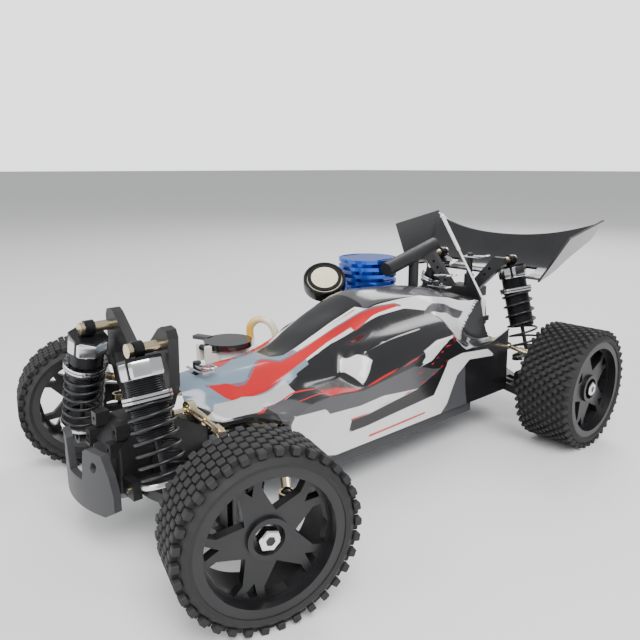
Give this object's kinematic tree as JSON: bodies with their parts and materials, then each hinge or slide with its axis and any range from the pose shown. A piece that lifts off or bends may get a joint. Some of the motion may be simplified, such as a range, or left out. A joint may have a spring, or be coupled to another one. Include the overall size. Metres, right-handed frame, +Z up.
{
  "type": "radio-controlled buggy",
  "caption": "Nitro-powered off-road radio-controlled buggy with open wheels, double-wishbone-style suspension, steering linkage, painted shell and rear wing.",
  "frame": {"origin": "on the ground under the middle of the car's outline", "axes": "+Z up, the nose points to -Y, the car's left side is +X"},
  "size_m": [0.2686, 0.4094, 0.1658],
  "materials": {
    "black_plastic": "satin black moulding",
    "blue_metal": "blue anodised",
    "body_paint": "glossy painted shell",
    "dark_metal": "dark anodised",
    "foam": "cream foam",
    "gold_metal": "gold plated steel",
    "grey_plastic": "dark grey moulding",
    "hose": "cream silicone",
    "plate_metal": "brushed plate",
    "steel": "turned steel",
    "tank_plastic": "milky white",
    "tyre_rubber": "black rubber",
    "wing_smoke": "glossy dark sheet"
  },
  "bodies": {
    "chassis": {"chassis_plate": "plate_metal", "side_guards": "black_plastic", "front_bumper": "grey_plastic", "front_gearbox": "grey_plastic", "rear_gearbox": "grey_plastic", "front_shock_tower": "grey_plastic", "rear_shock_tower": "black_plastic", "suspension_pins": "gold_metal", "steering_servo": "black_plastic", "body_posts": "black_plastic", "body_clips": "steel", "antenna": "black_plastic", "radio_box": "black_plastic", "fuel_tank": "tank_plastic", "engine_block": "plate_metal", "cooling_head": "blue_metal", "air_filter": "foam", "exhaust": "steel", "fuel_hose": "hose", "carry_handle": "black_plastic", "wing_mount": "black_plastic", "rear_wing": "wing_smoke", "body_shell": "body_paint"},
    "tank_lid": {"fuel_tank_lid": "black_plastic"},
    "drive_line": {"drive_shaft": "steel"},
    "horn": {"servo_horn": "black_plastic"},
    "crank": {"steering_crank": "black_plastic"},
    "drag_bar": {"drag_link": "black_plastic"},
    "front_left_arm": {"front_lower_arm_left": "black_plastic"},
    "front_left_carrier": {"front_hub_carrier_left": "black_plastic"},
    "front_left_link": {"front_upper_link_left": "gold_metal"},
    "front_left_shock_body": {"front_shock_body_left": "dark_metal"},
    "front_left_shock_shaft": {"front_shock_shaft_left": "gold_metal"},
    "front_left_wheel": {"front_left_rim": "black_plastic", "front_left_tyre": "tyre_rubber"},
    "left_knuckle": {"steering_knuckle_left": "black_plastic"},
    "left_tie_rod": {"tie_rod_left": "gold_metal"},
    "rear_left_arm": {"rear_lower_arm_left": "black_plastic"},
    "rear_left_carrier": {"rear_hub_carrier_left": "black_plastic"},
    "rear_left_link": {"rear_upper_link_left": "gold_metal"},
    "rear_left_shock_body": {"rear_shock_body_left": "dark_metal"},
    "rear_left_shock_shaft": {"rear_shock_shaft_left": "gold_metal"},
    "rear_left_wheel": {"rear_left_rim": "black_plastic", "rear_left_tyre": "tyre_rubber"},
    "front_right_arm": {"front_lower_arm_right": "black_plastic"},
    "front_right_carrier": {"front_hub_carrier_right": "black_plastic"},
    "front_right_link": {"front_upper_link_right": "gold_metal"},
    "front_right_shock_body": {"front_shock_body_right": "dark_metal"},
    "front_right_shock_shaft": {"front_shock_shaft_right": "gold_metal"},
    "front_right_wheel": {"front_right_rim": "black_plastic", "front_right_tyre": "tyre_rubber"},
    "right_knuckle": {"steering_knuckle_right": "black_plastic"},
    "right_tie_rod": {"tie_rod_right": "gold_metal"},
    "rear_right_arm": {"rear_lower_arm_right": "black_plastic"},
    "rear_right_carrier": {"rear_hub_carrier_right": "black_plastic"},
    "rear_right_link": {"rear_upper_link_right": "gold_metal"},
    "rear_right_shock_body": {"rear_shock_body_right": "dark_metal"},
    "rear_right_shock_shaft": {"rear_shock_shaft_right": "gold_metal"},
    "rear_right_wheel": {"rear_right_rim": "black_plastic", "rear_right_tyre": "tyre_rubber"}
  },
  "joints": [
    {"name": "steering_turn", "type": "hinge", "parent": "chassis", "child": "horn", "pos_m": [0.018, -0.115, 0.044], "axis": [0, 0, 1], "range_deg": [-11.5, 42.5]},
    {"name": "crank_turn", "type": "hinge", "parent": "chassis", "child": "crank", "pos_m": [-0.018, -0.115, 0.044], "axis": [0, 0, 1], "range_deg": [-11.5, 42.5]},
    {"name": "drag_swing", "type": "hinge", "parent": "horn", "child": "drag_bar", "pos_m": [0.02335, -0.09573, 0.049], "axis": [0, 0, 1], "range_deg": [-42.5, 11.5]},
    {"name": "front_left_bump", "type": "hinge", "parent": "chassis", "child": "front_left_arm", "pos_m": [0.024, -0.154, 0.037], "axis": [0, -1, 0], "range_deg": [-10, 12], "stiffness_Nm_per_rad": 3, "springref_deg": -10.89},
    {"name": "front_left_carrier_pivot", "type": "hinge", "parent": "front_left_arm", "child": "front_left_carrier", "pos_m": [0.08, -0.154, 0.029], "axis": [0, -1, 0], "range_deg": [-12, 10]},
    {"name": "front_left_link_pivot", "type": "hinge", "parent": "chassis", "child": "front_left_link", "pos_m": [0.027, -0.145, 0.074], "axis": [0, -1, 0], "range_deg": [-10, 12]},
    {"name": "front_left_shock_swing", "type": "hinge", "parent": "chassis", "child": "front_left_shock_body", "pos_m": [0.0296, -0.1745, 0.1136], "axis": [0, -1, 0], "range_deg": [-1.25, 1.46]},
    {"name": "front_left_shock_travel", "type": "slide", "parent": "front_left_shock_body", "child": "front_left_shock_shaft", "axis": [0.3468, 0, -0.9379], "range_m": [-0.00689, 0.00577]},
    {"name": "left_knuckle_turn", "type": "hinge", "parent": "front_left_carrier", "child": "left_knuckle", "pos_m": [0.093, -0.154, 0.044], "axis": [0, 0, 1], "range_deg": [-11.5, 42.5]},
    {"name": "left_tie_rod_pivot", "type": "hinge", "parent": "drag_bar", "child": "left_tie_rod", "pos_m": [0.04235, -0.09573, 0.0555], "axis": [0, -1, 0], "range_deg": [-10, 12]},
    {"name": "front_left_wheel_spin", "type": "hinge", "parent": "left_knuckle", "child": "front_left_wheel", "pos_m": [0.10794, -0.15814, 0.044], "axis": [0.9636, -0.2672, 0], "continuous": true},
    {"name": "rear_left_bump", "type": "hinge", "parent": "chassis", "child": "rear_left_arm", "pos_m": [0.024, 0.133, 0.036], "axis": [0, -1, 0], "range_deg": [-10, 12], "stiffness_Nm_per_rad": 4, "springref_deg": -10.89},
    {"name": "rear_left_carrier_pivot", "type": "hinge", "parent": "rear_left_arm", "child": "rear_left_carrier", "pos_m": [0.08, 0.133, 0.028], "axis": [0, -1, 0], "range_deg": [-12, 10]},
    {"name": "rear_left_link_pivot", "type": "hinge", "parent": "chassis", "child": "rear_left_link", "pos_m": [0.025, 0.124, 0.069], "axis": [0, -1, 0], "range_deg": [-10, 12]},
    {"name": "rear_left_shock_swing", "type": "hinge", "parent": "chassis", "child": "rear_left_shock_body", "pos_m": [0.0345, 0.1505, 0.128], "axis": [0, -1, 0], "range_deg": [-0.81, 0.94]},
    {"name": "rear_left_shock_travel", "type": "slide", "parent": "rear_left_shock_body", "child": "rear_left_shock_shaft", "axis": [0.2769, 0, -0.9609], "range_m": [-0.00766, 0.00641]},
    {"name": "rear_left_wheel_spin", "type": "hinge", "parent": "rear_left_carrier", "child": "rear_left_wheel", "pos_m": [0.103, 0.133, 0.044], "axis": [1, 0, 0], "continuous": true},
    {"name": "front_right_bump", "type": "hinge", "parent": "chassis", "child": "front_right_arm", "pos_m": [-0.024, -0.154, 0.037], "axis": [0, 1, 0], "range_deg": [-10, 12], "stiffness_Nm_per_rad": 3, "springref_deg": -10.89},
    {"name": "front_right_carrier_pivot", "type": "hinge", "parent": "front_right_arm", "child": "front_right_carrier", "pos_m": [-0.08, -0.154, 0.029], "axis": [0, 1, 0], "range_deg": [-12, 10]},
    {"name": "front_right_link_pivot", "type": "hinge", "parent": "chassis", "child": "front_right_link", "pos_m": [-0.027, -0.145, 0.074], "axis": [0, 1, 0], "range_deg": [-10, 12]},
    {"name": "front_right_shock_swing", "type": "hinge", "parent": "chassis", "child": "front_right_shock_body", "pos_m": [-0.0296, -0.1745, 0.1136], "axis": [0, 1, 0], "range_deg": [-1.25, 1.46]},
    {"name": "front_right_shock_travel", "type": "slide", "parent": "front_right_shock_body", "child": "front_right_shock_shaft", "axis": [-0.3468, 0, -0.9379], "range_m": [-0.00689, 0.00577]},
    {"name": "right_knuckle_turn", "type": "hinge", "parent": "front_right_carrier", "child": "right_knuckle", "pos_m": [-0.093, -0.154, 0.044], "axis": [0, 0, 1], "range_deg": [-11.5, 42.5]},
    {"name": "right_tie_rod_pivot", "type": "hinge", "parent": "drag_bar", "child": "right_tie_rod", "pos_m": [-0.03166, -0.09573, 0.0555], "axis": [0, 1, 0], "range_deg": [-10, 12]},
    {"name": "front_right_wheel_spin", "type": "hinge", "parent": "right_knuckle", "child": "front_right_wheel", "pos_m": [-0.10794, -0.14986, 0.044], "axis": [-0.9636, 0.2672, 0], "continuous": true},
    {"name": "rear_right_bump", "type": "hinge", "parent": "chassis", "child": "rear_right_arm", "pos_m": [-0.024, 0.133, 0.036], "axis": [0, 1, 0], "range_deg": [-10, 12], "stiffness_Nm_per_rad": 4, "springref_deg": -10.89},
    {"name": "rear_right_carrier_pivot", "type": "hinge", "parent": "rear_right_arm", "child": "rear_right_carrier", "pos_m": [-0.08, 0.133, 0.028], "axis": [0, 1, 0], "range_deg": [-12, 10]},
    {"name": "rear_right_link_pivot", "type": "hinge", "parent": "chassis", "child": "rear_right_link", "pos_m": [-0.025, 0.124, 0.069], "axis": [0, 1, 0], "range_deg": [-10, 12]},
    {"name": "rear_right_shock_swing", "type": "hinge", "parent": "chassis", "child": "rear_right_shock_body", "pos_m": [-0.0345, 0.1505, 0.128], "axis": [0, 1, 0], "range_deg": [-0.81, 0.94]},
    {"name": "rear_right_shock_travel", "type": "slide", "parent": "rear_right_shock_body", "child": "rear_right_shock_shaft", "axis": [-0.2769, 0, -0.9609], "range_m": [-0.00766, 0.00641]},
    {"name": "rear_right_wheel_spin", "type": "hinge", "parent": "rear_right_carrier", "child": "rear_right_wheel", "pos_m": [-0.103, 0.133, 0.044], "axis": [-1, 0, 0], "continuous": true},
    {"name": "tank_lid_hinge", "type": "hinge", "parent": "chassis", "child": "tank_lid", "pos_m": [-0.034, -0.0978, 0.0862], "axis": [1, 0, 0], "range_deg": [0, 100]},
    {"name": "drive_shaft_spin", "type": "hinge", "parent": "chassis", "child": "drive_line", "pos_m": [0, 0.008, 0.044], "axis": [0, 1, 0], "continuous": true}
  ],
  "couplings": [
    {"joint": "crank_turn", "follows": "steering_turn", "ratio": 1},
    {"joint": "drag_swing", "follows": "steering_turn", "ratio": -1},
    {"joint": "front_left_carrier_pivot", "follows": "front_left_bump", "ratio": -1},
    {"joint": "front_left_link_pivot", "follows": "front_left_bump", "ratio": 1},
    {"joint": "front_left_shock_swing", "follows": "front_left_bump", "ratio": 0.1053},
    {"joint": "front_left_shock_travel", "follows": "front_left_bump", "m_per_rad": -0.031934},
    {"joint": "left_knuckle_turn", "follows": "steering_turn", "ratio": 1},
    {"joint": "left_tie_rod_pivot", "follows": "front_left_bump", "ratio": 1},
    {"joint": "rear_left_carrier_pivot", "follows": "rear_left_bump", "ratio": -1},
    {"joint": "rear_left_link_pivot", "follows": "rear_left_bump", "ratio": 1},
    {"joint": "rear_left_shock_swing", "follows": "rear_left_bump", "ratio": 0.06135},
    {"joint": "rear_left_shock_travel", "follows": "rear_left_bump", "m_per_rad": -0.035601},
    {"joint": "front_right_carrier_pivot", "follows": "front_right_bump", "ratio": -1},
    {"joint": "front_right_link_pivot", "follows": "front_right_bump", "ratio": 1},
    {"joint": "front_right_shock_swing", "follows": "front_right_bump", "ratio": 0.1053},
    {"joint": "front_right_shock_travel", "follows": "front_right_bump", "m_per_rad": -0.031934},
    {"joint": "right_knuckle_turn", "follows": "steering_turn", "ratio": 1},
    {"joint": "right_tie_rod_pivot", "follows": "front_right_bump", "ratio": 1},
    {"joint": "rear_right_carrier_pivot", "follows": "rear_right_bump", "ratio": -1},
    {"joint": "rear_right_link_pivot", "follows": "rear_right_bump", "ratio": 1},
    {"joint": "rear_right_shock_swing", "follows": "rear_right_bump", "ratio": 0.06135},
    {"joint": "rear_right_shock_travel", "follows": "rear_right_bump", "m_per_rad": -0.035601}
  ]
}
